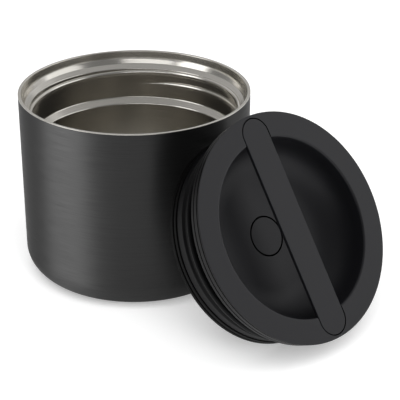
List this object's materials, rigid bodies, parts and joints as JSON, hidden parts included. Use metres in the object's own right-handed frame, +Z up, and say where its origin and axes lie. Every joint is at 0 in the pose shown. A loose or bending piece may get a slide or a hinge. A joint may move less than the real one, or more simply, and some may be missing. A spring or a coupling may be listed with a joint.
{
  "type": "insulated food jar",
  "caption": "Vacuum-insulated steel food jar, open, with its dished screw lid leaning on edge against it; the lid has an inlaid grip bar, a rim seal and a push-button vent valve",
  "frame": {"origin": "centre of the jar's underside, on the surface that the jar stands on", "axes": "+Z up along the jar's axis; the lid leans on the jar from its -Y side; +X across, so that the lid's tilt is a turn about X"},
  "size_m": [0.117, 0.1988, 0.1055],
  "materials": {
    "coated_shell": "dark grey satin coat over brushed steel",
    "bright_steel": "bare steel, drawn and polished round",
    "foil": "bright foil",
    "solder": "dull solder",
    "getter": "dull grey metal strip",
    "lid_plastic": "fine matte charcoal moulding",
    "seal_rubber": "smooth black silicone",
    "foam": "rigid closed-cell foam",
    "stem_steel": "bright wire and turned pin",
    "guide_plastic": "plain black moulding"
  },
  "bodies": {
    "jar": {"outer_shell": "coated_shell", "inner_liner": "bright_steel", "heat_shield": "foil", "outer_base": "bright_steel", "vacuum_seal": "solder", "base_cap": "coated_shell", "getter": "getter"},
    "lid": {"lid_top": "lid_plastic", "handle_bar": "lid_plastic", "lid_plug": "lid_plastic", "lid_gasket": "seal_rubber", "lid_base": "lid_plastic", "lid_foam": "foam", "vent_guide": "guide_plastic", "vent_spring": "stem_steel"},
    "vent_valve": {"vent_button": "lid_plastic", "vent_oring": "seal_rubber", "vent_stem": "stem_steel", "vent_seal": "seal_rubber", "vent_retainer": "stem_steel"}
  },
  "joints": [
    {"name": "lid_lift", "type": "slide", "parent": "jar", "child": "lid", "axis": [0, -0.8425, 0.5388], "range_m": [0, 0.12]},
    {"name": "vent_press", "type": "slide", "parent": "lid", "child": "vent_valve", "axis": [0, 0.8425, -0.5388], "range_m": [0, 0.002], "stiffness_N_per_m": 800, "springref_m": -0.0025, "deforming": ["vent_spring"]}
  ]
}
